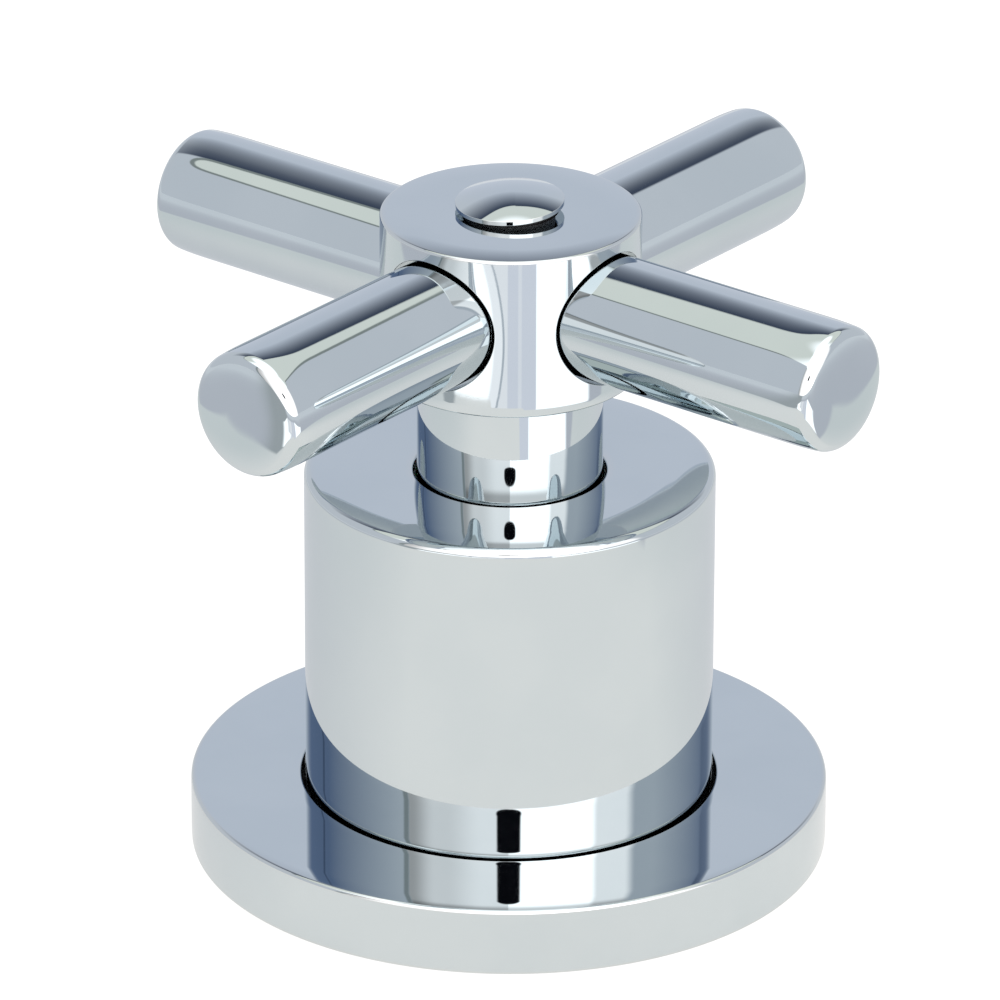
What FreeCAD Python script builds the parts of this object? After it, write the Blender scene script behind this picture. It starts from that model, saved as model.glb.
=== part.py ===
import FreeCAD, Part
import math
import os

# Cross-handle side valve of a basin set, standing on its flange.
# The origin is the centre of the flange's underside, and +Z points up. The valve is drawn closed, with the
# four bars of the handle along X and Y. Lengths are in millimetres and angles in degrees.

# Clearances, one for each kind of fit
seat_gap = 0.02             # between flat faces that bear on each other
running_gap = 0.05          # radial, between parts that turn or slide in each other
thread_gap = 0.05           # radial, between male and female threads, both drawn plain
ring_gap = 0.05             # between a rubber ring and each wall of its groove
overrun = 1.0               # how far a cutter passes the face that it cuts

# Sleeve, the polished cover over the headwork
sleeve_radius = 17.9
sleeve_height = 35.4
sleeve_wall = 1.6
sleeve_top_wall = 2.5
sleeve_rim_round = 0.75
sleeve_hole_round = 0.25
sleeve_foot_round = 0.3
sleeve_inner_round = 1.0
sleeve_boss_wall = 2.4
guide_chamber_height = 3.4

# Guide ring, which steadies the handle's shank in the sleeve
guide_ring_wall = 1.75
guide_ring_height = 1.8
guide_slide_gap = 0.1

# Cover flange with its ring and gasket
flange_radius = 28.0
flange_height = 6.1
flange_gap = 0.38
flange_rim_round = 0.35
flange_foot_round = 0.25
flange_bore_round = 0.2
flange_ring_section = 0.9
gasket_thickness = 1.2
gasket_inner_share = 0.32
gasket_outer_share = 0.74

# Headwork body: outlet nose, G1/2 thread, seal groove, hexagon, cover thread and neck
inlet_thread_radius = 10.478
inlet_thread_length = 8.0
inlet_thread_wall = 2.578
inlet_thread_chamfer = 0.6
nose_wall = 1.1
nose_chamfer = 0.3
body_ring_section = 0.9
hexagon_flats = 22.0
hexagon_height = 6.0
hexagon_chamfer = 0.6
cover_relief_height = 0.6
cover_relief_depth = 0.7
cover_thread_length = 4.0
cover_thread_chamfer = 0.4
neck_height = 4.3
neck_wall = 1.35
neck_clearance = 0.9
window_spread = 70.0
window_margin = 0.45

# Ceramic discs and the seal under them
disc_gap = 0.1
fixed_disc_thickness = 3.0
moving_disc_thickness = 3.2
port_spread = 80.0
port_inner_share = 0.28
port_outer_share = 0.77
wing_spread = 94.0
wing_web_share = 0.26
drive_key_width = 3.0
drive_key_depth = 1.2
disc_lug_width = 3.0
disc_lug_reach = 0.9
disc_chamfer = 0.25
seal_height = 2.2
seal_lip_height = 1.0
seal_lip_flare = 0.3
seal_wall = 1.55
seal_round = 0.35

# Spindle, its rings, washer and clip
spindle_flange_thickness = 2.5
spindle_step = 0.6
spindle_ring_section = 0.75
spindle_ring_pitch = 4.0
slide_washer_thickness = 0.8
clip_thickness = 1.0
clip_groove_depth = 0.6
clip_opening = 60.0
spline_teeth = 20
spline_depth = 0.4
spline_tip_share = 0.3
spline_root_share = 0.6
spline_length = 10.0
spindle_wall = 1.1
spindle_end_chamfer = 0.3

# Handle hub with its shank
shank_radius = 8.1
shank_showing = 9.3
shank_wall = 1.2
shank_clearance = 1.0
shank_hole_gap = 0.4
shank_foot_round = 0.2
hub_radius = 11.28
hub_height = 14.7
hub_top_round = 0.28
hub_foot_round = 0.22
bush_step = 0.2
bush_length = 9.0

# Bars and the studs that hold them
bar_radius = 5.59
bar_reach = 36.15
bar_lift = 0.11
bar_seat_depth = 2.5
bar_hole_gap = 0.34
bar_end_round = 1.0
bar_end_crown = 0.6
bar_root_round = 0.3
stud_radius = 3.0
stud_depth_in_bar = 7.5
stud_margin = 0.4
stud_chamfer = 0.5
bar_headings = {"bar_front_right": 0, "bar_back_right": 90, "bar_back_left": 180, "bar_front_left": 270}

# Handle screw and its washer
web_margin = 0.8
screw_pocket_radius = 3.7
screw_pocket_depth = 2.9
screw_head_gap = 0.35
screw_head_height = 2.0
screw_head_round = 0.5
screw_length = 11.0
screw_tip_chamfer = 0.5
screw_recess_width = 1.0
screw_recess_reach = 1.9
screw_recess_depth = 1.2
screw_washer_thickness = 0.5
washer_opening = 12.0

# Cap, which stands proud of the hub and leans a little in its bore
cap_bore_radius = 4.05
cap_bore_depth = 3.1
cap_bore_chamfer = 0.1
cap_radius = 4.7
cap_rim_height = 0.47
cap_crown = 0.75
cap_stand = 0.59
cap_neck_gap = 0.13
cap_foot_gap = 0.6
cap_ring_section = 0.6
cap_ring_land = 0.4
cap_lean = 3.0
cap_lean_heading = 71.0

FULL_TURN = 360.0
QUARTER_TURN = 90.0
ORIGIN = FreeCAD.Vector(0, 0, 0)
ALONG_Y = FreeCAD.Vector(0, 1, 0)
UP = FreeCAD.Vector(0, 0, 1)


def outline(corners):
    """Closed wire in the XZ plane through (radius, height) corners; a third number rounds that corner."""
    points = [FreeCAD.Vector(corner[0], 0, corner[1]) for corner in corners]
    edges = []
    starts = []
    ends = []
    for index, corner in enumerate(corners):
        point = points[index]
        if len(corner) == 2:
            starts.append(point)
            ends.append(point)
            continue
        before = (points[index - 1] - point).normalize()
        after = (points[(index + 1) % len(points)] - point).normalize()
        half_angle = before.getAngle(after) / 2
        tangent = corner[2] / math.tan(half_angle)
        middle = (before + after).normalize() * (corner[2] / math.sin(half_angle) - corner[2])
        starts.append(point + before * tangent)
        ends.append(point + after * tangent)
        edges.append(Part.Arc(starts[index], point + middle, ends[index]).toShape())
    for index in range(len(corners)):
        edges.append(Part.LineSegment(ends[index - 1], starts[index]).toShape())
    return Part.Wire(Part.__sortEdges__(edges))


def turned(*corners, angle=FULL_TURN):
    """Solid of revolution about Z of the outline through the corners."""
    return Part.Face(outline(corners)).revolve(ORIGIN, UP, angle)


def ring(inner, outer, low, high):
    """Square-edged ring about Z."""
    return turned((inner, low), (outer, low), (outer, high), (inner, high))


def rod(radius, low, high):
    """Plain cylinder about Z."""
    return Part.makeCylinder(radius, high - low, FreeCAD.Vector(0, 0, low))


def round_ring(inner, section, middle):
    """Rubber ring about Z: inner radius, radius of its section, height of its centre."""
    return Part.makeTorus(inner + section, section, FreeCAD.Vector(0, 0, middle))


def sector(inner, outer, low, high, heading, spread):
    """Ring segment that spans the spread, centred on the heading."""
    segment = turned((inner, low), (outer, low), (outer, high), (inner, high), angle=spread)
    segment.rotate(ORIGIN, UP, heading - spread / 2)
    return segment


def block(reach, width, low, high):
    """Box centred on Z that reaches the same way along +X and -X."""
    return Part.makeBox(reach * 2, width, high - low, FreeCAD.Vector(-reach, -width / 2, low))


def hexagon(flats, low, high):
    """Hexagonal prism about Z."""
    corner_radius = flats / math.sqrt(3)
    angles = [math.radians(FULL_TURN * corner / 6) for corner in range(7)]
    points = [FreeCAD.Vector(corner_radius * math.cos(a), corner_radius * math.sin(a), low) for a in angles]
    return Part.Face(Part.makePolygon(points)).extrude(UP * (high - low))


def spline(root, tip, low, high):
    """Toothed prism about Z, with straight-sided teeth between the root and tip radii."""
    pitch = math.tau / spline_teeth
    points = []
    for tooth in range(spline_teeth):
        for radius, share in ((root, -spline_root_share), (tip, -spline_tip_share),
                              (tip, spline_tip_share), (root, spline_root_share)):
            angle = pitch * (tooth + share / 2)
            points.append(FreeCAD.Vector(radius * math.cos(angle), radius * math.sin(angle), low))
    return Part.Face(Part.makePolygon(points + points[:1])).extrude(UP * (high - low))


def open_ring(inner, outer, low, high, opening):
    """Ring with a gap of the opening's angle, as on a clip or a split washer."""
    return sector(inner, outer, low, high, FULL_TURN / 2, FULL_TURN - opening)


def crown_radius(radius, crown):
    """Radius of the sphere that rises by the crown over a disc of the radius."""
    return (radius ** 2 + crown ** 2) / (2 * crown)


def crowned(solid, radius, crown, top):
    """The solid cut to a shallow sphere whose top is on Z at the height given."""
    ball = crown_radius(radius, crown)
    return solid.common(Part.makeSphere(ball, FreeCAD.Vector(0, 0, top - ball)))


def laid_out(solid, height, heading):
    """The solid turned from Z to a level line at the height, pointing along the heading."""
    placed = solid.copy()
    placed.rotate(ORIGIN, ALONG_Y, QUARTER_TURN)
    placed.rotate(ORIGIN, UP, heading)
    placed.translate(FreeCAD.Vector(0, 0, height))
    return placed


def save(name, shape):
    """Write one sub-part and say how large it is."""
    shape.exportStep("parts/" + name + ".step")
    print(name, "solids", len(shape.Solids), "valid", shape.isValid(), "volume", round(shape.Volume, 1))


# Radii worked out from the sleeve, the shank and the inlet thread inwards
sleeve_bore = sleeve_radius - sleeve_wall
sleeve_hole = shank_radius + shank_hole_gap
flange_bore = sleeve_radius + flange_gap
shank_bore = shank_radius - shank_wall
neck_radius = shank_bore - neck_clearance
stem_bore = neck_radius - neck_wall
stem_radius = stem_bore - running_gap
spline_tip = stem_radius - spindle_step
spline_root = spline_tip - spline_depth
screw_radius = spline_root - spindle_wall
guide_bore = shank_radius + guide_slide_gap
guide_radius = guide_bore + guide_ring_wall
cover_thread_radius = guide_radius + ring_gap - thread_gap
boss_bore = cover_thread_radius + thread_gap
barrel_bore = inlet_thread_radius - inlet_thread_wall
nose_radius = barrel_bore + nose_wall
disc_radius = barrel_bore - disc_gap

# Heights of the headwork, worked out downwards from the sleeve's top
sleeve_ceiling = sleeve_height - sleeve_top_wall
cover_thread_top = sleeve_ceiling - guide_chamber_height
cover_thread_foot = cover_thread_top - cover_thread_length
hexagon_top = cover_thread_foot - cover_relief_height
hexagon_foot = hexagon_top - hexagon_height
body_groove_height = 2 * (body_ring_section + ring_gap)
inlet_thread_top = hexagon_foot - body_groove_height
spindle_foot = inlet_thread_top - inlet_thread_length
moving_disc_foot = spindle_foot - seat_gap - moving_disc_thickness
fixed_disc_foot = moving_disc_foot - seat_gap - fixed_disc_thickness
seal_foot = fixed_disc_foot - seat_gap - seal_height
nose_foot = seal_foot + seal_lip_height + seat_gap
spindle_flange_top = spindle_foot + spindle_flange_thickness
slide_washer_top = spindle_flange_top + seat_gap + slide_washer_thickness
barrel_ceiling = slide_washer_top + seat_gap
neck_top = cover_thread_top + neck_height
clip_foot = neck_top + seat_gap

# Heights of the handle, worked out upwards from the sleeve's top
shank_foot = cover_thread_top + shank_clearance
hub_foot = sleeve_height + shank_showing
hub_top = hub_foot + hub_height
bar_height = hub_foot + hub_height / 2 + bar_lift
bush_pocket_top = bar_height - stud_radius - web_margin
bush_foot = bush_pocket_top - seat_gap - bush_length
spindle_top = bush_pocket_top - seat_gap
cap_bore_foot = hub_top - cap_bore_depth
screw_seat = cap_bore_foot - screw_pocket_depth
screw_head_foot = screw_seat + screw_washer_thickness + 2 * seat_gap
screw_tip = screw_head_foot - screw_length
bar_seat = hub_radius - bar_seat_depth
stud_tip = max(cap_bore_radius, screw_pocket_radius) + stud_margin

os.makedirs("parts", exist_ok=True)

# Sleeve: a turned cup, open below, with a threaded boss inside that screws onto the headwork
sleeve = turned(
    (sleeve_bore, 0),
    (sleeve_radius, 0, sleeve_foot_round),
    (sleeve_radius, sleeve_height, sleeve_rim_round),
    (sleeve_hole, sleeve_height, sleeve_hole_round),
    (sleeve_hole, sleeve_ceiling),
    (boss_bore, sleeve_ceiling),
    (boss_bore, cover_thread_foot),
    (boss_bore + sleeve_boss_wall, cover_thread_foot),
    (boss_bore + sleeve_boss_wall, sleeve_ceiling, sleeve_inner_round),
    (sleeve_bore, sleeve_ceiling, sleeve_inner_round),
)
save("sleeve", sleeve)

# Guide ring: lies against the sleeve's ceiling, around the shank
guide_ring = ring(guide_bore, guide_radius, sleeve_ceiling - guide_ring_height, sleeve_ceiling - seat_gap)
save("sleeve_guide_ring", guide_ring)

# Flange: a turned disc with a groove in its bore for the gripping ring and one below for the gasket
flange_ring_inner = sleeve_radius + running_gap
flange_groove_radius = flange_ring_inner + 2 * flange_ring_section + ring_gap
flange_groove_half = flange_ring_section + ring_gap
flange_groove_middle = (gasket_thickness + flange_height) / 2
flange_land = flange_radius - flange_bore
gasket_groove_inner = flange_bore + flange_land * gasket_inner_share
gasket_groove_outer = flange_bore + flange_land * gasket_outer_share
flange = turned(
    (flange_bore, 0),
    (gasket_groove_inner, 0),
    (gasket_groove_inner, gasket_thickness + seat_gap),
    (gasket_groove_outer, gasket_thickness + seat_gap),
    (gasket_groove_outer, 0),
    (flange_radius, 0, flange_foot_round),
    (flange_radius, flange_height, flange_rim_round),
    (flange_bore, flange_height, flange_bore_round),
    (flange_bore, flange_groove_middle + flange_groove_half),
    (flange_groove_radius, flange_groove_middle + flange_groove_half),
    (flange_groove_radius, flange_groove_middle - flange_groove_half),
    (flange_bore, flange_groove_middle - flange_groove_half),
)
save("flange", flange)
save("flange_o_ring", round_ring(flange_ring_inner, flange_ring_section, flange_groove_middle))
save("flange_gasket", ring(gasket_groove_inner + ring_gap, gasket_groove_outer - ring_gap, 0,
                           gasket_thickness))

# Headwork body: turned brass with a hexagon for the spanner and two outlet windows in its nose
body_groove_radius = hexagon_flats / 2 - 2 * body_ring_section - 2 * ring_gap
relief_radius = cover_thread_radius - cover_relief_depth
body = turned(
    (0, nose_foot),
    (nose_radius - nose_chamfer, nose_foot),
    (nose_radius, nose_foot + nose_chamfer),
    (nose_radius, spindle_foot),
    (inlet_thread_radius - inlet_thread_chamfer, spindle_foot),
    (inlet_thread_radius, spindle_foot + inlet_thread_chamfer),
    (inlet_thread_radius, inlet_thread_top),
    (body_groove_radius, inlet_thread_top),
    (body_groove_radius, hexagon_foot),
    (relief_radius, hexagon_foot),
    (relief_radius, cover_thread_foot),
    (cover_thread_radius, cover_thread_foot),
    (cover_thread_radius, cover_thread_top - cover_thread_chamfer),
    (cover_thread_radius - cover_thread_chamfer, cover_thread_top),
    (neck_radius, cover_thread_top),
    (neck_radius, neck_top),
    (0, neck_top),
)
hexagon_corner = hexagon_flats / math.sqrt(3)
spanner_face = hexagon(hexagon_flats, hexagon_foot, hexagon_top).common(turned(
    (0, hexagon_foot),
    (hexagon_corner - hexagon_chamfer, hexagon_foot),
    (hexagon_corner, hexagon_foot + hexagon_chamfer),
    (hexagon_corner, hexagon_top - hexagon_chamfer),
    (hexagon_corner - hexagon_chamfer, hexagon_top),
    (0, hexagon_top),
))
body = body.fuse(spanner_face)
body = body.cut(rod(barrel_bore, nose_foot - overrun, barrel_ceiling))
body = body.cut(rod(stem_bore, barrel_ceiling - overrun, neck_top + overrun))
window_low = moving_disc_foot + window_margin
window_high = spindle_foot - window_margin
lug_slot_width = disc_lug_width + 2 * ring_gap
for heading in (QUARTER_TURN, 3 * QUARTER_TURN):
    body = body.cut(sector(barrel_bore - disc_gap, nose_radius + overrun, window_low, window_high,
                           heading, window_spread))
lug_slots = block(nose_radius + overrun, lug_slot_width, nose_foot - overrun, moving_disc_foot)
lug_slots = lug_slots.cut(rod(barrel_bore - disc_gap, nose_foot - 2 * overrun, moving_disc_foot + overrun))
body = body.cut(lug_slots)
save("headwork_body", body.removeSplitter())

body_ring_inner = body_groove_radius + ring_gap
save("body_o_ring", round_ring(body_ring_inner, body_ring_section, (inlet_thread_top + hexagon_foot) / 2))

# Seat seal: a moulded lip ring that closes the headwork's foot on the valve seat
seal_radius = barrel_bore - ring_gap
seal_shelf = nose_foot - seat_gap
save("seat_seal", turned(
    (seal_radius - seal_wall, seal_foot, seal_round),
    (seal_radius + seal_lip_flare, seal_foot, seal_round),
    (seal_radius + seal_lip_flare, seal_shelf),
    (seal_radius, seal_shelf),
    (seal_radius, seal_foot + seal_height),
    (seal_radius - seal_wall, seal_foot + seal_height),
))

# Fixed disc: two sector ports, and two lugs that keep it from turning in the nose
fixed_disc_top = fixed_disc_foot + fixed_disc_thickness
fixed_disc = turned(
    (0, fixed_disc_foot),
    (disc_radius - disc_chamfer, fixed_disc_foot),
    (disc_radius, fixed_disc_foot + disc_chamfer),
    (disc_radius, fixed_disc_top),
    (0, fixed_disc_top),
)
lug_reach = disc_radius + disc_lug_reach
disc_lugs = block(lug_reach, disc_lug_width, fixed_disc_foot + disc_chamfer, fixed_disc_top)
fixed_disc = fixed_disc.fuse(disc_lugs).removeSplitter()
for heading in (QUARTER_TURN, 3 * QUARTER_TURN):
    fixed_disc = fixed_disc.cut(sector(disc_radius * port_inner_share, disc_radius * port_outer_share,
                                       fixed_disc_foot - overrun, fixed_disc_top + overrun,
                                       heading, port_spread))
save("fixed_disc", fixed_disc)

# Moving disc: a bow tie whose wings cover the ports when the valve is closed, with a slot for the drive key
moving_disc_top = moving_disc_foot + moving_disc_thickness
moving_disc = turned(
    (0, moving_disc_foot),
    (disc_radius, moving_disc_foot),
    (disc_radius, moving_disc_top - disc_chamfer),
    (disc_radius - disc_chamfer, moving_disc_top),
    (0, moving_disc_top),
)
for heading in (0, 2 * QUARTER_TURN):
    moving_disc = moving_disc.cut(sector(disc_radius * wing_web_share, disc_radius + overrun,
                                         moving_disc_foot - overrun, moving_disc_top + overrun,
                                         heading, FULL_TURN / 2 - wing_spread))
key_slot = block(disc_radius + overrun, drive_key_width + 2 * running_gap,
                 moving_disc_top - drive_key_depth - seat_gap, moving_disc_top + overrun)
key_slot.rotate(ORIGIN, UP, QUARTER_TURN)
save("moving_disc", moving_disc.cut(key_slot))

# Spindle: drive key and flange below, two ring grooves in the stem, a clip groove, and a splined end
stem_top = neck_top - spindle_step
spline_foot = spindle_top - spline_length
spindle_ring_groove = stem_bore - 2 * (spindle_ring_section + ring_gap)
spindle_groove_half = spindle_ring_section + ring_gap
first_ring_height = barrel_ceiling + spindle_ring_pitch
spindle_ring_heights = [first_ring_height, first_ring_height + spindle_ring_pitch]
clip_groove_radius = spline_tip - clip_groove_depth
clip_top = clip_foot + clip_thickness
spindle = turned(
    (0, spindle_foot),
    (disc_radius, spindle_foot),
    (disc_radius, spindle_flange_top),
    (stem_radius, spindle_flange_top),
    (stem_radius, stem_top),
    (spline_tip, stem_top),
    (spline_tip, clip_foot - seat_gap),
    (clip_groove_radius, clip_foot - seat_gap),
    (clip_groove_radius, clip_top + seat_gap),
    (spline_tip, clip_top + seat_gap),
    (spline_tip, spline_foot),
    (0, spline_foot),
)
spindle_tip = spline(spline_root, spline_tip, spline_foot, spindle_top).common(turned(
    (0, spline_foot),
    (spline_tip, spline_foot),
    (spline_tip, spindle_top - spindle_end_chamfer),
    (spline_tip - spindle_end_chamfer, spindle_top),
    (0, spindle_top),
))
drive_key = block(disc_radius - disc_chamfer - disc_gap, drive_key_width, spindle_foot - drive_key_depth,
                  spindle_foot + drive_key_depth)
drive_key.rotate(ORIGIN, UP, QUARTER_TURN)
spindle = spindle.fuse([spindle_tip, drive_key])
for height in spindle_ring_heights:
    spindle = spindle.cut(ring(spindle_ring_groove, stem_radius + overrun,
                               height - spindle_groove_half, height + spindle_groove_half))
spindle = spindle.cut(rod(screw_radius + thread_gap, screw_tip - screw_tip_chamfer, spindle_top + overrun))
save("spindle", spindle.removeSplitter())

spindle_ring_inner = spindle_ring_groove + ring_gap
save("spindle_o_rings", Part.makeCompound(
    [round_ring(spindle_ring_inner, spindle_ring_section, height) for height in spindle_ring_heights]))
save("slide_washer", ring(stem_radius + running_gap, disc_radius, spindle_flange_top + seat_gap,
                          slide_washer_top))
save("retaining_clip", open_ring(clip_groove_radius + running_gap, neck_radius - running_gap, clip_foot,
                                 clip_top, clip_opening))

# Spline bush: moulded, hexagonal outside and splined inside
bush_corner = shank_bore - bush_step
bush_flats = bush_corner * math.sqrt(3)
bush = hexagon(bush_flats, bush_foot, bush_pocket_top - seat_gap)
bush = bush.cut(spline(spline_root + running_gap, spline_tip + running_gap, bush_foot - overrun, spindle_top
                       + overrun))
save("spline_bush", bush)

# Hub: turned in one piece with its shank, bored for the bush and the cap, and counterbored for the bars
hub = turned(
    (0, shank_foot),
    (shank_radius, shank_foot, shank_foot_round),
    (shank_radius, hub_foot),
    (hub_radius, hub_foot, hub_foot_round),
    (hub_radius, hub_top, hub_top_round),
    (0, hub_top),
)
hub = hub.cut(rod(shank_bore, shank_foot - overrun, bush_foot))
hub = hub.cut(hexagon(bush_flats + 2 * ring_gap, bush_foot - overrun, bush_pocket_top))
hub = hub.cut(rod(screw_radius + running_gap, bush_pocket_top - overrun, screw_seat + overrun))
hub = hub.cut(rod(screw_pocket_radius, screw_seat, cap_bore_foot + overrun))
hub = hub.cut(turned(
    (0, cap_bore_foot),
    (cap_bore_radius, cap_bore_foot),
    (cap_bore_radius, hub_top - cap_bore_chamfer),
    (cap_bore_radius + cap_bore_chamfer, hub_top),
    (cap_bore_radius + cap_bore_chamfer, hub_top + overrun),
    (0, hub_top + overrun),
))
bar_drill = rod(bar_radius + bar_hole_gap, bar_seat, hub_radius + overrun)
stud_drill = rod(stud_radius + thread_gap, stud_tip - seat_gap, bar_seat + overrun)
for heading in bar_headings.values():
    hub = hub.cut([laid_out(bar_drill, bar_height, heading), laid_out(stud_drill, bar_height, heading)])
save("hub", hub)

# Bars: turned rods with a crowned end, tapped at the root for their studs
bar_root = bar_seat + seat_gap
stud_end = bar_root + stud_depth_in_bar
bar_edge_height = bar_reach - bar_end_crown
bar = turned((0, bar_root), (bar_radius, bar_root, bar_root_round), (bar_radius, bar_reach), (0, bar_reach))
bar = crowned(bar, bar_radius, bar_end_crown, bar_reach)
end_edges = [edge for edge in bar.Edges if edge.BoundBox.ZMin > stud_end]
bar = bar.makeFillet(bar_end_round, [edge for edge in end_edges if edge.BoundBox.ZLength < bar_end_crown])
bar = bar.cut(rod(stud_radius + thread_gap, bar_root - overrun, stud_end + seat_gap))
for name, heading in bar_headings.items():
    save(name, laid_out(bar, bar_height, heading))

stud = turned(
    (0, stud_tip),
    (stud_radius - stud_chamfer, stud_tip),
    (stud_radius, stud_tip + stud_chamfer),
    (stud_radius, stud_end - stud_chamfer),
    (stud_radius - stud_chamfer, stud_end),
    (0, stud_end),
)
studs = [laid_out(stud, bar_height, heading) for heading in bar_headings.values()]
save("bar_studs", Part.makeCompound(studs))

# Handle screw and split washer, at the bottom of the hub's stepped bore
screw_head_radius = screw_pocket_radius - screw_head_gap
screw_head_top = screw_head_foot + screw_head_height
screw = turned(
    (0, screw_tip),
    (screw_radius - screw_tip_chamfer, screw_tip),
    (screw_radius, screw_tip + screw_tip_chamfer),
    (screw_radius, screw_head_foot),
    (screw_head_radius, screw_head_foot),
    (screw_head_radius, screw_head_top, screw_head_round),
    (0, screw_head_top),
)
recess = block(screw_recess_reach, screw_recess_width, screw_head_top - screw_recess_depth,
               screw_head_top + overrun)
crossing_recess = recess.copy()
crossing_recess.rotate(ORIGIN, UP, QUARTER_TURN)
save("handle_screw", screw.cut([recess, crossing_recess]))
save("screw_washer", open_ring(screw_radius + running_gap, screw_head_radius, screw_seat + seat_gap,
                               screw_seat + seat_gap + screw_washer_thickness, washer_opening))

# Cap: a thin-rimmed dome on a neck, leaning about the ring that holds it in the hub
cap_neck_radius = cap_bore_radius - cap_neck_gap
cap_foot = cap_bore_foot + cap_foot_gap
cap_ring_half = cap_ring_section + ring_gap
cap_ring_height = cap_foot + cap_ring_land + cap_ring_half
cap_ring_inner = cap_bore_radius - running_gap - 2 * cap_ring_section
cap_head_foot = hub_top + cap_stand
cap_top = cap_head_foot + cap_rim_height + cap_crown
cap = turned(
    (0, cap_foot),
    (cap_neck_radius, cap_foot),
    (cap_neck_radius, cap_head_foot),
    (cap_radius, cap_head_foot),
    (cap_radius, cap_top),
    (0, cap_top),
)
cap = crowned(cap, cap_radius, cap_crown, cap_top)
cap = cap.cut(ring(cap_ring_inner - ring_gap, cap_neck_radius + overrun, cap_ring_height - cap_ring_half,
                   cap_ring_height + cap_ring_half))
cap_ring = round_ring(cap_ring_inner, cap_ring_section, cap_ring_height)
lean_centre = FreeCAD.Vector(0, 0, cap_ring_height)
lean_angle = math.radians(cap_lean_heading - QUARTER_TURN)
lean_axis = FreeCAD.Vector(math.cos(lean_angle), math.sin(lean_angle), 0)
for name, piece in (("cap", cap), ("cap_o_ring", cap_ring)):
    piece.rotate(lean_centre, lean_axis, cap_lean)
    save(name, piece)
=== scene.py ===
import bpy
import math
import numpy as np
from mathutils import Matrix, Vector


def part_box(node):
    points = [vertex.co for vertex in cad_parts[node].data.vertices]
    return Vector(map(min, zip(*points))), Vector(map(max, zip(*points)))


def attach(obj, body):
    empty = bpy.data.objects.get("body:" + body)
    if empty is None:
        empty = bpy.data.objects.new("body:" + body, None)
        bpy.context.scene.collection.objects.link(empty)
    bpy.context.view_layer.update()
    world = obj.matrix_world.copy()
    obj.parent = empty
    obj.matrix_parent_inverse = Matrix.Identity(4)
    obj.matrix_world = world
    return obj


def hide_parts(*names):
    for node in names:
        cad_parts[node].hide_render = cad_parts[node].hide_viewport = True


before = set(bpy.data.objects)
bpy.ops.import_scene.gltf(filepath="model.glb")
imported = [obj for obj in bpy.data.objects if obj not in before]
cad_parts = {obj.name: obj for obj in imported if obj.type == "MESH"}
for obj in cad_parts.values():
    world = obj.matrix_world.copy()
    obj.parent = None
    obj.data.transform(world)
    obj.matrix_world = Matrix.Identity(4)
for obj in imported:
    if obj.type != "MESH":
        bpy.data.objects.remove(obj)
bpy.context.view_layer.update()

# Studio: a pale room with a sheet hung under its ceiling, and two front lights with a gap between them.
# The camera stands where the photograph was taken from, a little above the valve and to its right.
scene = bpy.context.scene
scene.view_settings.view_transform = "Standard"

camera_heading = math.radians(38.412)
camera_rise = math.radians(24.284)
camera_roll = math.radians(0.19)
camera_distance = 0.7837
aim_right = -0.00085
aim_height = 0.03201
focal_share = 9.006

away = Vector((math.sin(camera_heading) * math.cos(camera_rise),
               -math.cos(camera_heading) * math.cos(camera_rise), math.sin(camera_rise)))
level_right = Vector((math.cos(camera_heading), math.sin(camera_heading), 0))
level_up = away.cross(level_right)
across = level_right * math.cos(camera_roll) + level_up * math.sin(camera_roll)
upright = level_up * math.cos(camera_roll) - level_right * math.sin(camera_roll)
place = level_right * aim_right + Vector((0, 0, aim_height)) + away * camera_distance
camera = bpy.data.objects.new("camera", bpy.data.cameras.new("camera"))
camera.matrix_world = Matrix((across, upright, away)).transposed().to_4x4()
camera.matrix_world.translation = place
camera.data.lens = camera.data.sensor_width * focal_share
scene.collection.objects.link(camera)
scene.camera = camera


def node(tree, kind, *values, **settings):
    """One shader node, whose sockets take the values in order: a socket is linked, a number is set."""
    made = tree.nodes.new("ShaderNode" + kind)
    for setting, value in settings.items():
        setattr(made, setting, value)
    for socket, value in zip(made.inputs, values):
        feed(tree, socket, value)
    return made


def feed(tree, socket, value):
    """Links an output to the socket, or sets the socket, with colours given as three numbers."""
    if isinstance(value, bpy.types.NodeSocket):
        tree.links.new(value, socket)
    elif value is not None:
        socket.default_value = (*value, 1) if socket.type == "RGBA" else value


def math_of(tree, operation, *values):
    """The output of a Math node."""
    return node(tree, "Math", *values, operation=operation).outputs[0]


def product(tree, *values):
    """All the values multiplied together."""
    result = values[0]
    for value in values[1:]:
        result = math_of(tree, "MULTIPLY", result, value)
    return result


def ramp(tree, value, start, end, low=0.0, high=1.0):
    """Low before start and high after end, with a soft S between them."""
    return node(tree, "MapRange", value, start, end, low, high, interpolation_type="SMOOTHSTEP").outputs[0]


def slope(tree, value, start, end, low=0.0, high=1.0):
    """Low before start and high after end, with a straight rise between them."""
    return node(tree, "MapRange", value, start, end, low, high).outputs[0]


def band(tree, value, start, end, soft, high=1.0):
    """High between start and end, none outside them, with soft edges of the width given."""
    rising = ramp(tree, value, start - soft, start)
    return product(tree, rising, ramp(tree, value, end, end + soft, high, 0.0))


def either(tree, share, first, second):
    """First value where the share is 0, second where it is 1."""
    return math_of(tree, "MULTIPLY_ADD", share, math_of(tree, "SUBTRACT", second, first), first)


def difference(tree, first, second):
    """How far two values are from each other."""
    return math_of(tree, "ABSOLUTE", math_of(tree, "SUBTRACT", first, second))


def blend(tree, share, first, second):
    """First colour where the share is 0, second where it is 1."""
    mix = node(tree, "Mix", data_type="RGBA")
    feed(tree, mix.inputs["Factor"], share)
    feed(tree, mix.inputs[6], first)
    feed(tree, mix.inputs[7], second)
    return mix.outputs[2]


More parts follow.
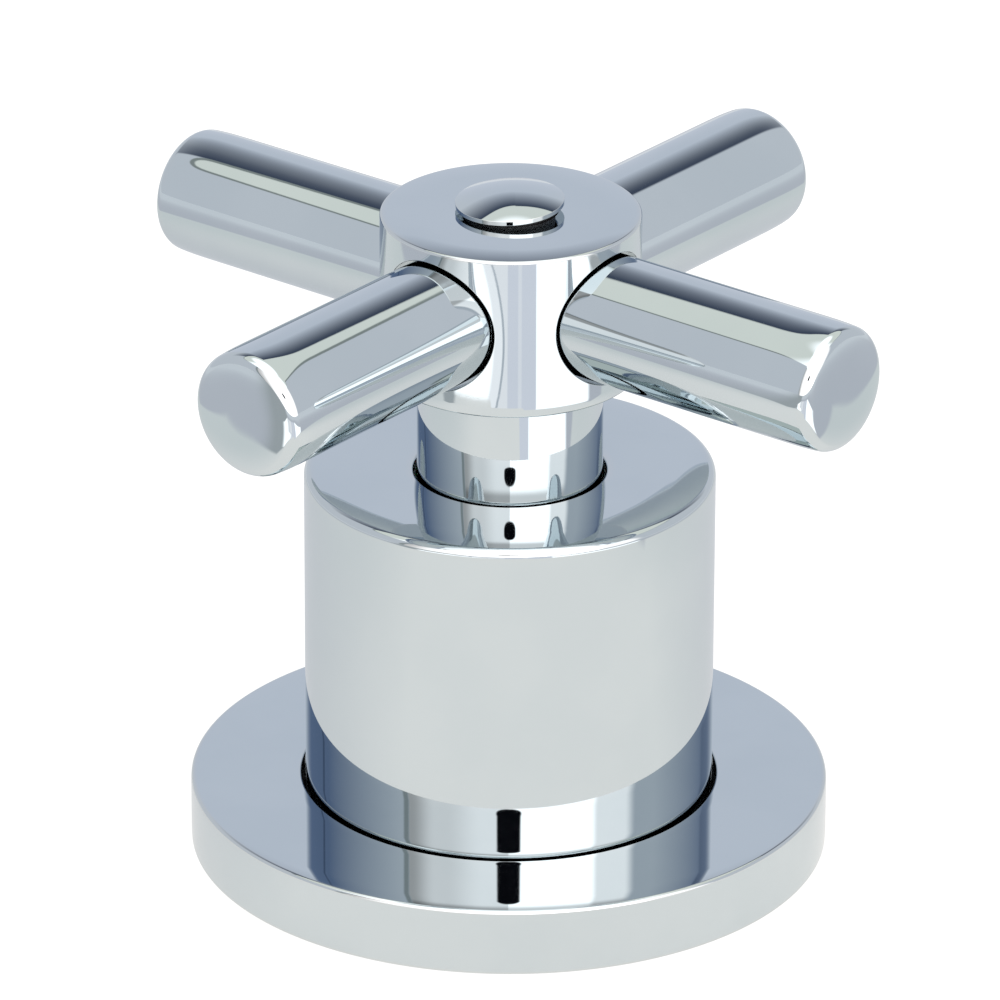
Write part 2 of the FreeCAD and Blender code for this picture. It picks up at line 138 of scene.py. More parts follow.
def turned_place(tree, coordinates, angle):
    """X, Y and Z of a place or a direction, turned about Z by the angle."""
    turn = node(tree, "Mapping", node(tree, "TexCoord").outputs[coordinates], vector_type="TEXTURE")
    turn.inputs["Rotation"].default_value = (0, 0, angle)
    return node(tree, "SeparateXYZ", turn.outputs[0]).outputs


# Directions are in degrees: the side is counted to the right from the camera, the rise from level. A tuple
# that says where something fades holds what a ramp or a band takes, in the same order.
side_wall = (0.72, 0.745, 0.80)
back_wall = (0.685, 0.725, 0.82)
back_wall_fade = (150.0, 175.0)
second_mirror = 1.5

world = bpy.data.worlds.new("studio")
scene.world = world
world.use_nodes = True
sky = world.node_tree
sky.nodes.clear()
direction = turned_place(sky, "Generated", camera_heading - math.pi / 2)
side = math_of(sky, "DEGREES", math_of(sky, "ARCTAN2", direction[1], direction[0]))
rise = math_of(sky, "DEGREES", math_of(sky, "ARCSINE", direction[2]))
turned_away = math_of(sky, "ABSOLUTE", side)
on_left = math_of(sky, "LESS_THAN", side, 0.0)
mirrors_met = node(sky, "LightPath").outputs["Glossy Depth"]
between_faces = math_of(sky, "GREATER_THAN", mirrors_met, second_mirror)
colour = blend(sky, ramp(sky, turned_away, *back_wall_fade), side_wall, back_wall)

# The ceiling sheet's edge climbs from the sides to the back; on the left sooner and higher, before a dip
right_edge_climb = (136.0, 180.0, 43.2, 51.0)
left_edge_climb = (85.0, 140.0, 44.3, 55.0)
left_edge_dip = (150.0, 180.0, 0.0, 4.5)
edge_right = ramp(sky, turned_away, *right_edge_climb)
edge_left = math_of(sky, "SUBTRACT", ramp(sky, turned_away, *left_edge_climb),
                    ramp(sky, turned_away, *left_edge_dip))
below = math_of(sky, "SUBTRACT", either(sky, on_left, edge_right, edge_left), rise)

# Walls that one polished face shows to another are shaded at the sides, with a thin dark seam on the left
wall_shade = (0.17, 0.23, 0.37)
ceiling_gap = (0.022, 0.04, 0.085)
shade_fade_right = (90.0, 142.0, 0.0, 0.86)
shade_fade_left = (64.0, 124.0)
shade_fade_back = (150.0, 172.0, 1.0, 0.0)
shade_fade_up = (30.0, 40.0, 1.0, 0.0)
seam_fade = (-130.6, -129.4, 1.2, 0.5)
shade_right = slope(sky, turned_away, *shade_fade_right)
shade_left = slope(sky, turned_away, *shade_fade_left)
shaded = product(sky, either(sky, on_left, shade_right, shade_left), ramp(sky, turned_away, *shade_fade_back),
                 ramp(sky, rise, *shade_fade_up), between_faces)
colour = blend(sky, shaded, colour, wall_shade)
wall_seam = product(sky, band(sky, side, *seam_fade), between_faces)
colour = blend(sky, wall_seam, colour, ceiling_gap)

# Gap behind the sheet: the wall darkens towards the sheet's edge, at the back and on more of the left
gap_depth = 23.0
gap_overlap = 1.0
gap_least = 0.001
gap_curve = 1.15
gap_fade_back = (137.0, 142.0)
gap_further_left = 14.0
gap_share = math_of(sky, "DIVIDE", math_of(sky, "ADD", below, gap_overlap), gap_depth)
gap_share = math_of(sky, "MINIMUM", math_of(sky, "MAXIMUM", gap_share, gap_least), 1.0)
gloom = math_of(sky, "SUBTRACT", 1.0, math_of(sky, "POWER", gap_share, gap_curve))
gap_side = math_of(sky, "MULTIPLY_ADD", on_left, gap_further_left, turned_away)
gloom = product(sky, gloom, ramp(sky, gap_side, *gap_fade_back))
colour = blend(sky, gloom, colour, ceiling_gap)

# Front lamps: the left one falls off sideways, the right one ends in a dimmer strip. Between two faces the
# left one is duller, and both are dimmer above the gap's top.
lamp_white = (1.0, 0.94, 0.92)
left_lamp_fade = (-57.0, -42.0, 0.9, 1.75)
left_lamp_swell = (-36.0, -14.0, 0.0, 0.5)
left_lamp_dulled = 0.24
right_lamp_fade = (47.0, 52.0, 2.8, 1.75)
lamp_top_fade = (29.5, 32.5, 0.0, 0.5)
lamps_fade_left = (-59.0, -57.5)
lamps_fade_right = (69.0, 77.0, 1.0, 0.0)
lamp_frame_side = -60.0
lamp_frame_fade = (0.8, 2.4, 0.8, 0.0)
left_level = math_of(sky, "ADD", ramp(sky, side, *left_lamp_fade), ramp(sky, side, *left_lamp_swell))
left_level = product(sky, left_level, math_of(sky, "MULTIPLY_ADD", between_faces, -left_lamp_dulled, 1.0))
level = either(sky, on_left, ramp(sky, side, *right_lamp_fade), left_level)
dimmed = product(sky, between_faces, ramp(sky, rise, *lamp_top_fade))
level = product(sky, level, math_of(sky, "SUBTRACT", 1.0, dimmed))
lamps = node(sky, "VectorMath", lamp_white, operation="SCALE")
feed(sky, lamps.inputs["Scale"], level)
in_front = product(sky, ramp(sky, side, *lamps_fade_left), ramp(sky, side, *lamps_fade_right))
colour = blend(sky, in_front, colour, lamps.outputs[0])

# Ceiling sheet, lit towards the front and overhead, with a dark hem over the side walls and by the left lamp
ceiling_sheet = (0.93, 0.955, 0.885)
sheet_lit = (1.75, 1.75, 1.75)
sheet_lit_front = (72.0, 88.0, 1.0, 0.0)
sheet_lit_overhead = (60.0, 68.0)
sheet_edge_fade = (0.5, -0.5)
sheet_hem = (0.30, 0.33, 0.32)
hem_fade = (0.3, 0.8, 1.0, 0.0)
hem_sides = (88.0, 130.0, 8.0)
lamp_frame = ramp(sky, difference(sky, side, lamp_frame_side), *lamp_frame_fade)
colour = blend(sky, lamp_frame, colour, sheet_hem)
lit = math_of(sky, "MAXIMUM", ramp(sky, turned_away, *sheet_lit_front), ramp(sky, rise, *sheet_lit_overhead))
sheet = blend(sky, lit, ceiling_sheet, sheet_lit)
colour = blend(sky, ramp(sky, below, *sheet_edge_fade), colour, sheet)
hem = product(sky, ramp(sky, math_of(sky, "ABSOLUTE", below), *hem_fade), band(sky, turned_away, *hem_sides))
colour = blend(sky, hem, colour, sheet_hem)

# Gap between the lamps, a dark rounded slot that the camera looks through
slot_black = (0.004, 0.004, 0.006)
slot_rise = 24.6
slot_half_rise = 4.3
slot_half_side = 7.2
slot_roundness = 2.4
slot_fade = (0.75, 1.15, 1.0, 0.0)
slot_across = math_of(sky, "POWER", math_of(sky, "DIVIDE", turned_away, slot_half_side), slot_roundness)
slot_up = math_of(sky, "DIVIDE", difference(sky, rise, slot_rise), slot_half_rise)
slot_up = math_of(sky, "POWER", slot_up, slot_roundness)
slot = ramp(sky, math_of(sky, "ADD", slot_across, slot_up), *slot_fade)
colour = blend(sky, slot, colour, slot_black)
node(sky, "OutputWorld", node(sky, "Background", colour, 1.0).outputs[0])

# Table: a flat white sheet with low walls beyond its edges and a bright card before it.
# Only the camera sees it as pure white. Polished metal sees a painted reflection instead: the low walls, the
# card, and painted shade where its light falls off round the valve.
floor_reach = 6.0
table_half_width = 0.137
table_half_length = 0.26
table_seen = (1.18, 1.18, 1.17)
table_albedo = (0.8, 0.8, 0.8)
table_shadow_share = 0.28


def length(tree, first, second):
    """Length of the two values taken as the sides of a right angle."""
    return math_of(tree, "SQRT", math_of(tree, "MULTIPLY_ADD", first, first, product(tree, second, second)))


corners = np.array([(-1, -1, 0), (1, -1, 0), (1, 1, 0), (-1, 1, 0)]) * floor_reach
mesh = bpy.data.meshes.new("table")
mesh.from_pydata(corners.tolist(), [], [(0, 1, 2, 3)])
table = bpy.data.objects.new("table", mesh)
scene.collection.objects.link(table)
table_look = bpy.data.materials.new("table_sheet")
table_look.use_nodes = True
tree = table_look.node_tree
tree.nodes.clear()
rightwards, backwards = turned_place(tree, "Object", camera_heading)[:2]
sideways = math_of(tree, "ABSOLUTE", rightwards)
forwards = math_of(tree, "MULTIPLY", backwards, -1.0)
heading = math_of(tree, "DEGREES", math_of(tree, "ARCTAN2", rightwards, forwards))
distance = length(tree, rightwards, backwards)
on_right = math_of(tree, "GREATER_THAN", rightwards, 0.0)
beyond_length = math_of(tree, "SUBTRACT", math_of(tree, "ABSOLUTE", backwards), table_half_length)
beyond = math_of(tree, "MAXIMUM", math_of(tree, "SUBTRACT", sideways, table_half_width), beyond_length)

# The sheet's front edge runs back on both sides of the card
edge_slope_left = 0.3
edge_slope_right = 0.5
edge_middle_left = 0.0875
edge_middle_right = 0.066
edge_corner = 0.083
edge_slope = either(tree, on_right, edge_slope_left, edge_slope_right)
edge_middle = either(tree, on_right, edge_middle_left, edge_middle_right)
edge_run = math_of(tree, "SUBTRACT", product(tree, sideways, edge_slope), edge_middle)
past_corner = math_of(tree, "SUBTRACT", sideways, edge_corner)
past_edge = math_of(tree, "MINIMUM", math_of(tree, "ADD", forwards, edge_run), past_corner)
beyond = math_of(tree, "MAXIMUM", beyond, past_edge)

# Painted shade in what the metal mirrors: the sheet is brightest towards the camera and darker behind and
# beside the valve, and its low walls darken to their foot and on the front left
table_near = (1.06, 1.03, 0.985)
table_shade_behind = (0.47, 0.51, 0.58)
behind_left = 50.0
behind_right = 75.0
table_side = (0.74, 0.78, 0.77)
table_side_fade = (0.06, 0.125)
table_edge_fade = (0.0, 0.005)
wall_foot_shade = (0.50, 0.52, 0.60)
wall_far = (0.75, 0.79, 0.85)
wall_climb = (0.0, 0.35)
wall_dim = (0.27, 0.31, 0.33)
wall_dim_headings = (-56.0, -30.0, 12.0)
behind_from = either(tree, on_right, behind_left, behind_right)
behind = slope(tree, math_of(tree, "ABSOLUTE", heading), behind_from, 180.0)
mirrored = blend(tree, behind, table_near, table_shade_behind)
mirrored = blend(tree, ramp(tree, sideways, *table_side_fade), mirrored, table_side)
low_wall = blend(tree, ramp(tree, beyond, *wall_climb), wall_foot_shade, wall_far)
low_wall = blend(tree, band(tree, heading, *wall_dim_headings), low_wall, wall_dim)
mirrored = blend(tree, ramp(tree, beyond, *table_edge_fade), mirrored, low_wall)

# The card, a painted reflection, has grey stripes and a dark bowed rim, and starts nearer on the right
card_start_right = 0.094
card_start_middle = 0.111
card_start_left = 0.116
card_step_right = (10.0, 12.0)
card_step_left = (-17.0, -14.0)
card_fade = (0.0, 0.002)
card_headings = (-46.0, 68.0, 4.0)
card_side_fade = (0.135, 0.140, 1.0, 0.0)
card_far_fade = (0.30, 0.35, 1.0, 0.0)
card_bow_middle = 0.131
card_bow_half = 0.02
card_bow_most = 1.5
card_bow_turn = 9.7
card_rim_heading = 5.6
bow = math_of(tree, "DIVIDE", math_of(tree, "SUBTRACT", distance, card_bow_middle), card_bow_half)
bow = math_of(tree, "MINIMUM", math_of(tree, "MULTIPLY", bow, bow), card_bow_most)
past_rim = math_of(tree, "ADD", heading, math_of(tree, "MULTIPLY_ADD", bow, card_bow_turn, card_rim_heading))
card_from = math_of(tree, "ADD", ramp(tree, heading, *card_step_right, card_start_middle, card_start_right),
                    ramp(tree, heading, *card_step_left, card_start_left - card_start_middle, 0.0))
card = product(tree, ramp(tree, math_of(tree, "SUBTRACT", distance, card_from), *card_fade),
               band(tree, heading, *card_headings), ramp(tree, sideways, *card_side_fade),
               ramp(tree, distance, *card_far_fade))

# Stripes over the card, by heading or by the angle past its rim
card_white = (2.1, 2.1, 2.1)
card_pale = (1.16, 1.15, 1.19)
card_grey = (0.86, 0.88, 1.0)
card_line = (0.42, 0.48, 0.56)
before_rim = (-7.0, 0.0, 3.0, 0.8)
behind_rim = (0.5, 1.5)
behind_rim_end = (3.0, 4.0, 1.0, 0.0)
grey_stripe = (-1.8, 21.0, 1.2)
pale_stripe = (7.0, 8.8, 1.2, 0.6)
rim_line = (-0.5, 0.5, 0.8)
stripes = blend(tree, band(tree, past_rim, *before_rim), card_white, card_pale)
after_rim = product(tree, ramp(tree, past_rim, *behind_rim), ramp(tree, heading, *behind_rim_end))
stripes = blend(tree, after_rim, stripes, card_pale)
stripes = blend(tree, band(tree, heading, *grey_stripe), stripes, card_grey)
stripes = blend(tree, band(tree, heading, *pale_stripe), stripes, card_pale)
stripes = blend(tree, band(tree, past_rim, *rim_line), stripes, card_line)
mirrored = blend(tree, card, mirrored, stripes)
rays = node(tree, "LightPath")
glow_colour = blend(tree, rays.outputs["Is Camera Ray"], mirrored, table_seen)
reflected = math_of(tree, "MAXIMUM", rays.outputs["Is Glossy Ray"], rays.outputs["Is Transmission Ray"])
seen = math_of(tree, "MAXIMUM", rays.outputs["Is Camera Ray"], reflected)
glow = node(tree, "Emission", glow_colour, seen)
matt = node(tree, "BsdfDiffuse", table_albedo)
both = node(tree, "MixShader", table_shadow_share, glow.outputs[0], matt.outputs[0])
node(tree, "OutputMaterial", both.outputs[0])
table.data.materials.append(table_look)

# Cover flange: a turned brass disc, ground, polished and chrome plated. It lies on its gasket on the basin,
# and a rubber ring in its bore grips the sleeve.
def stations(corners, polish=0.0, steps=10):
    """Rows (across, up, normal across, normal up) along an outline, counterclockwise about the metal.

    A corner is (across, up, round, reach before, reach after). A rounded corner is an arc that touches both
    sides. Where polishing wheels have rubbed a side down, over its reach before or after the corner, the side
    falls away by a parabola whose slope grows to the polish angle at the arc, which is shortened to match. A
    sharp corner gives two rows in one place, one for each side.
    """
    rows = []
    for index, corner in enumerate(corners):
        spot = np.array(corner[:2], dtype=float)
        before = spot - np.array(corners[index - 1][:2])
        after = np.array(corners[(index + 1) % len(corners)][:2]) - spot
        before /= np.linalg.norm(before)
        after /= np.linalg.norm(after)
        first = np.array((before[1], -before[0]))
        last = np.array((after[1], -after[0]))
        if len(corner) == 2:
            rows += [(*spot, *first), (*spot, *last)]
            continue
        radius = corner[2]
        reach_before, reach_after = corner[3:] if len(corner) > 3 else (0.0, 0.0)
        bend = math.atan2(before[0] * after[1] - before[1] * after[0], before @ after)
        bulge = math.copysign(1.0, bend)
        tilt_before = polish if reach_before else 0.0
        tilt_after = polish if reach_after else 0.0
        middle = spot - before * radius * math.tan(abs(bend) / 2) - first * radius * bulge
        middle = middle - first * tilt_before * reach_before / 2 - last * tilt_after * reach_after / 2
        angles = np.linspace(tilt_before, abs(bend) - tilt_after, steps) * bulge
        arc_normals = np.outer(np.cos(angles), first) + np.outer(np.sin(angles), (-first[1], first[0]))
        arc = np.hstack((middle + arc_normals * radius * bulge, arc_normals))
        rows += rubbed(arc[0], -before, first, reach_before, tilt_before, steps)[::-1]
        rows += [tuple(row) for row in arc]
        rows += rubbed(arc[-1], after, last, reach_after, tilt_after, steps)
    return np.array(rows)


def rubbed(start, along, normal, reach, tilt, steps):
    """Rows from the end of an arc along a rubbed side, up a parabola whose slope fades to none."""
    if not reach:
        return []
    run = np.linspace(0, reach, steps)[1:]
    rest = (reach - run) / reach
    risen = tilt * reach / 2 * (1 - rest ** 2)
    spots = start[:2] + np.outer(run, along) + np.outer(risen, normal)
    turned_normals = np.outer(np.cos(tilt * rest), normal) - np.outer(np.sin(tilt * rest), along)
    return [tuple(row) for row in np.hstack((spots, turned_normals))]


def guarded(rows, margin=0.0004, most=0.3):
    """The outline with a row added just inside both ends of each long side, so that wear stays by the edges.

    A side is long where the margin is less of it than the share given.
    """
    kept = [rows[:1]]
    for row, step in zip(rows[:-1], rows[1:] - rows[:-1]):
        share = margin / max(math.hypot(step[0], step[1]), margin)
        if share < most:
            kept.append(np.array((row + step * share, row + step * (1 - share))))
        kept.append((row + step)[None])
    return np.vstack(kept)


def carried_round(rows, columns=256):
    """Grids of points, normals and way: the rows go round Z, and the way is the length along them."""
    rows = guarded(rows)
    angles = np.linspace(0, math.tau, columns + 1)
    circle = np.stack((np.cos(angles), np.sin(angles)), axis=1)
    level = np.ones((columns + 1, 1))
    points = np.stack([np.hstack((circle * row[0], level * row[1])) for row in rows])
    normals = np.stack([np.hstack((circle * row[2], level * row[3])) for row in rows])
    way = np.concatenate(((0,), np.cumsum(np.hypot(*np.diff(rows[:, :2], axis=0).T))))
    return points, normals, np.outer(way, np.ones(columns + 1))


def closed(rows):
    """The outline joined up to its own first row."""
    return np.vstack((rows, rows[:1]))


def sharpness(points, normals, worn_round=0.0003, least_step=1e-7):
    """How sharp the surface is at each point: its bend between rows per metre, against a worn round's."""
    bend = np.arccos(np.clip((normals[1:] * normals[:-1]).sum(axis=2), -1, 1))
    step = np.maximum(np.linalg.norm(points[1:] - points[:-1], axis=2), least_step)
    curve = np.clip(bend / step * worn_round, 0, 1)
    return np.maximum(np.vstack((curve[:1], curve)), np.vstack((curve, curve[-1:])))


def shell(name, body, slot, look, *grids):
    """One closed piece from grids of points with their normals and way along the surface.

    Each grid gives a face to every four neighbours. Faces are turned to face as their normals do, corners
    that fall together become one, and the true normals are kept at the corners, so that the metal mirrors
    without a seam. The attributes way and edge tell the material how far along the turned outline a point is,
    and how sharp it is there.
    """
    layers = [[], [], [], []]
    for points, normals, way in grids:
        for source, kept in zip((points, normals, way, sharpness(points, normals)), layers):
            fours = np.stack((source[:-1, :-1], source[1:, :-1], source[1:, 1:], source[:-1, 1:]), axis=2)
            kept.append(fours.reshape(-1, 4, *source.shape[2:]))
    quads, directions, ways, edges = (np.concatenate(kept) for kept in layers)
    facing = np.cross(quads[:, 2] - quads[:, 0], quads[:, 3] - quads[:, 1])
    inside_out = (facing * directions.sum(axis=1)).sum(axis=1) < 0
    for layer in (quads, directions, ways, edges):
        layer[inside_out] = layer[inside_out, ::-1]
    decimals = 8
    places, index = np.unique(np.round(quads.reshape(-1, 3), decimals), axis=0, return_inverse=True)
    index = index.reshape(-1, 4)
    single = index != np.roll(index, 1, axis=1)
    whole = single.all(axis=1)
    three = single.sum(axis=1) == 3
    faces = index[whole].tolist() + index[three][single[three]].reshape(-1, 3).tolist()

    def at_corners(values):
        return np.concatenate((values[whole].reshape(-1, *values.shape[2:]), values[three][single[three]]))

    mesh = bpy.data.meshes.new(name)
    mesh.from_pydata(places.tolist(), [], faces)
    mesh.shade_smooth()
    mesh.attributes.new("way", "FLOAT", "CORNER").data.foreach_set("value", at_corners(ways))
    mesh.attributes.new("edge", "FLOAT", "CORNER").data.foreach_set("value", at_corners(edges))
    mesh.normals_split_custom_set(at_corners(directions).tolist())
    mesh.materials.append(look)
    made = bpy.data.objects.new(name, mesh)
    scene.collection.objects.link(made)
    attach(made, body)
    return made


def effect(name, takes, gives):
    """A node group with named inputs, all numbers but Place, and outputs: its tree and both ends."""
    group = bpy.data.node_groups.new(name, "ShaderNodeTree")
    for socket in takes:
        kind = "NodeSocketVector" if socket == "Place" else "NodeSocketFloat"
        group.interface.new_socket(socket, in_out="INPUT", socket_type=kind)
    for socket in gives:
        group.interface.new_socket(socket, in_out="OUTPUT", socket_type="NodeSocketFloat")
    return group, group.nodes.new("NodeGroupInput").outputs, group.nodes.new("NodeGroupOutput").inputs


def noise(tree, place, scale, detail=2.0):
    """Smooth noise from 0 to 1 at a place in metres, with features as large as the scale."""
    scaled = node(tree, "VectorMath", place, operation="SCALE")
    feed(tree, scaled.inputs["Scale"], math_of(tree, "DIVIDE", 1.0, scale))
    grain = node(tree, "TexNoise", scaled.outputs[0])
    grain.inputs["Scale"].default_value = 1.0
    grain.inputs["Detail"].default_value = detail
    return grain.outputs[0]


# Marks of a tool or wheel: noise that changes fast along the outline and slowly round the piece
marks_stretch = 90.0
marks_contrast = (0.3, 0.7)
turning_marks, taken, given = effect("turning_marks", ("Way", "Place", "Spacing"), ("Mark",))
tree = turning_marks
slow = node(tree, "VectorMath", taken["Place"], operation="SCALE")
slow.inputs["Scale"].default_value = 1 / marks_stretch
fast = node(tree, "CombineXYZ", taken["Way"])
both = node(tree, "VectorMath", slow.outputs[0], fast.outputs[0], operation="ADD")
marks = noise(tree, both.outputs[0], taken["Spacing"], detail=3.0)
feed(tree, given["Mark"], ramp(tree, marks, *marks_contrast))

# Handling: broad soft patches of wiped-off film, and small specks such as dried drops leave
patches_contrast = (0.35, 0.65)
specks_contrast = (0.66, 0.74)
speck_share = 0.06
soiling, taken, given = effect("soiling", ("Place", "Size"), ("Patches", "Specks"))
tree = soiling
film = noise(tree, taken["Place"], taken["Size"], detail=3.0)
feed(tree, given["Patches"], ramp(tree, film, *patches_contrast))
drops = noise(tree, taken["Place"], product(tree, taken["Size"], speck_share), detail=1.0)
feed(tree, given["Specks"], ramp(tree, drops, *specks_contrast))


def new_look(name, **constants):
    """A material of one Principled shader, with constants set on its sockets: material, tree, sockets."""
    look = bpy.data.materials.new(name)
    look.use_nodes = True
    look.node_tree.nodes.clear()
    shader = node(look.node_tree, "BsdfPrincipled")
    for constant, value in constants.items():
        feed(look.node_tree, shader.inputs[constant.replace("_", " ")], value)
    node(look.node_tree, "OutputMaterial", shader.outputs[0])
    return look, look.node_tree, shader.inputs


def handled(tree, size):
    """Object coordinates, and the patches and specks of handling on them."""
    place = node(tree, "TexCoord").outputs["Object"]
    patches, specks = node(tree, "Group", place, size, node_tree=soiling).outputs
    return place, patches, specks


def wear(tree, patches, specks, share):
    """How worn a spot is: wholly in the specks, and by the share in the patches."""
    return math_of(tree, "MAXIMUM", product(tree, patches, share), specks)


def raised(tree, height, distance):
    """The normal of a surface that rises by the distance where the height is 1."""
    bump = node(tree, "Bump")
    feed(tree, bump.inputs["Height"], height)
    feed(tree, bump.inputs["Distance"], distance)
    return bump.outputs[0]


def dress(look, *names):
    """Gives CAD nodes that stay a finished material."""
    for name in names:
        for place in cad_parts[name].material_slots:
            place.material = look


chrome_cool = (0.590, 0.646, 0.672)
chrome_warm = (0.608, 0.662, 0.686)
chrome_edge = (0.665, 0.665, 0.65)
chrome_edge_share = 0.3
chrome_film_size = 0.011
chrome_mark_spacing = 0.00015
chrome_smooth = 0.017
chrome_mark_haze = 0.006
chrome_film_haze = 0.008
chrome_edge_haze = 0.012
chrome_ripple = 0.0022
chrome_ripple_height = 0.0000006

chrome, tree, sockets = new_look("chrome_plate", Metallic=1.0)
place, patches, specks = handled(tree, chrome_film_size)
way = node(tree, "Attribute", attribute_name="way").outputs["Fac"]
edge = node(tree, "Attribute", attribute_name="edge").outputs["Fac"]
marks = node(tree, "Group", way, place, chrome_mark_spacing, node_tree=turning_marks).outputs[0]
plate = blend(tree, patches, chrome_cool, chrome_warm)
feed(tree, sockets["Base Color"], blend(tree, product(tree, edge, chrome_edge_share), plate, chrome_edge))
roughness = chrome_smooth
for cause, haze in ((marks, chrome_mark_haze), (patches, chrome_film_haze), (specks, chrome_film_haze),
                    (edge, chrome_edge_haze)):
    roughness = math_of(tree, "MULTIPLY_ADD", cause, haze, roughness)
feed(tree, sockets["Roughness"], roughness)
feed(tree, sockets["Normal"], raised(tree, noise(tree, place, chrome_ripple), chrome_ripple_height))

rubber_bloom_share = 0.6
rubber_roughness = (0.42, 0.6)
rubber_grain = 0.00015
rubber_grain_height = 0.000008


def rubber(name, fresh, bloomed, size=0.003):
    """Moulded rubber: a bloom in patches that dulls it, mould specks, and a fine grain."""
    look, tree, sockets = new_look(name, Specular_IOR_Level=0.45)
    place, patches, specks = handled(tree, size)
    bloom = wear(tree, patches, specks, rubber_bloom_share)
    feed(tree, sockets["Base Color"], blend(tree, bloom, fresh, bloomed))
    feed(tree, sockets["Roughness"], ramp(tree, patches, 0.0, 1.0, *rubber_roughness))
    grain = noise(tree, place, rubber_grain, detail=3.0)
    feed(tree, sockets["Normal"], raised(tree, grain, rubber_grain_height))
    return look


black_rubber = rubber("nitrile_rubber", (0.012, 0.012, 0.014), (0.028, 0.028, 0.03))
grey_rubber = rubber("sheet_rubber", (0.085, 0.085, 0.09), (0.14, 0.14, 0.14), size=0.006)
dress(black_rubber, "flange_o_ring")
dress(grey_rubber, "flange_gasket")

polish_angle = math.radians(3.0)
sleeve_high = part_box("sleeve")[1]
sleeve_radius = sleeve_high.x
flange_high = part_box("flange")[1]
gasket_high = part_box("flange_gasket")[1]
flange_radius = flange_high.x
flange_height = flange_high.z
flange_gap = 0.00038
flange_rim_round = 0.00035
flange_foot_round = 0.00025
flange_bore_round = 0.0002
flange_rub = 0.0015
ring_groove_depth = 0.00152
ring_groove_half = 0.00095
gasket_room = 0.00005
gasket_inner = 0.0213904
seat_room = 0.00002
gasket_roof = gasket_high.z + seat_room
flange_bore = sleeve_radius + flange_gap
groove_middle = (gasket_high.z + flange_height) / 2

flange_rows = closed(stations((
    (flange_bore, 0),
    (gasket_inner, 0),
    (gasket_inner, gasket_roof),
    (gasket_high.x + gasket_room, gasket_roof),
    (gasket_high.x + gasket_room, 0),
    (flange_radius, 0, flange_foot_round, 0, flange_rub / 2),
    (flange_radius, flange_height, flange_rim_round, flange_rub / 2, flange_rub),
    (flange_bore, flange_height, flange_bore_round, flange_rub / 2, 0),
    (flange_bore, groove_middle + ring_groove_half),
    (flange_bore + ring_groove_depth, groove_middle + ring_groove_half),
    (flange_bore + ring_groove_depth, groove_middle - ring_groove_half),
    (flange_bore, groove_middle - ring_groove_half),
), polish_angle))
flange = shell("cover_flange_ring", "cover_flange", "polished_chrome", chrome, carried_round(flange_rows))
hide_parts("flange")

# Headwork body: a hot-pressed brass blank, turned and left unplated, with a G1/2 thread for the valve body
# below and a finer one for the sleeve above. A rubber ring seals its flange to the valve body.
inlet_thread = (0.009, 0.017, 0.0100, 0.001814)
cover_thread = (0.0255, 0.0295, 0.0095, 0.001)
metal_film_size = 0.005
metal_mark_shine = 0.6
metal_mark_share = 0.012
thread_depth = 0.0005


def polar(tree, given, across, up):
    """Gives a group's Radius and Turn, in whole turns, from the two lengths at right angles to an axis."""
    feed(tree, given["Radius"], length(tree, across, up))
    feed(tree, given["Turn"], math_of(tree, "DIVIDE", math_of(tree, "ARCTAN2", up, across), math.tau))


# Place about the valve's axis, for pieces that are turned about it
axis_place, taken, given = effect("axis_place", ("Place",), ("Radius", "Along", "Turn"))
tree = axis_place
spot = node(tree, "SeparateXYZ", taken["Place"]).outputs
polar(tree, given, spot[0], spot[1])
feed(tree, given["Along"], spot[2])

# Thread: a ridge that climbs one pitch in a turn, between two heights and outside a radius
thread_takes = ("Along", "Turn", "Radius", "Pitch", "Low", "High", "Crest")
thread_ridges, taken, given = effect("thread_ridges", thread_takes, ("Height",))
tree = thread_ridges
ridge = math_of(tree, "SUBTRACT", math_of(tree, "DIVIDE", taken["Along"], taken["Pitch"]), taken["Turn"])
ridge = product(tree, math_of(tree, "PINGPONG", ridge, 0.5), 2.0)
on_thread = product(tree, math_of(tree, "GREATER_THAN", taken["Along"], taken["Low"]),
                    math_of(tree, "LESS_THAN", taken["Along"], taken["High"]),
                    math_of(tree, "GREATER_THAN", taken["Radius"], taken["Crest"]))
feed(tree, given["Height"], either(tree, on_thread, 1.0, ridge))


def bare_metal(name, dull, bright, smooth, rough, spacing, threads=(), placed=axis_place):
    """Unplated metal: tool marks brighten it, patches and specks dull it, and threads stand up as ridges.

    A thread is (low, high, crest radius, pitch).
    """
    look, tree, sockets = new_look(name, Metallic=1.0)
    place, patches, specks = handled(tree, metal_film_size)
    radius, along, turned = node(tree, "Group", place, node_tree=placed).outputs
    cut = math_of(tree, "ADD", along, radius)
    marks = node(tree, "Group", cut, place, spacing, node_tree=turning_marks).outputs[0]
    unmarked = math_of(tree, "MULTIPLY_ADD", marks, -metal_mark_shine, 1.0)
    tarnish = wear(tree, patches, specks, unmarked)
    feed(tree, sockets["Base Color"], blend(tree, tarnish, bright, dull))
    feed(tree, sockets["Roughness"], ramp(tree, tarnish, 0.0, 1.0, smooth, rough))
    height = product(tree, marks, metal_mark_share)
    for low, high, crest, pitch in threads:
        ridges = node(tree, "Group", along, turned, radius, pitch, low, high, crest, node_tree=thread_ridges)
        height = math_of(tree, "ADD", height, ridges.outputs[0])
    feed(tree, sockets["Normal"], raised(tree, height, thread_depth))
    return look


pressed_brass = bare_metal("pressed_brass", (0.42, 0.29, 0.12), (0.62, 0.44, 0.18), smooth=0.22, rough=0.38,
                           spacing=0.00025, threads=(inlet_thread, cover_thread))
dress(pressed_brass, "headwork_body")
dress(black_rubber, "body_o_ring")

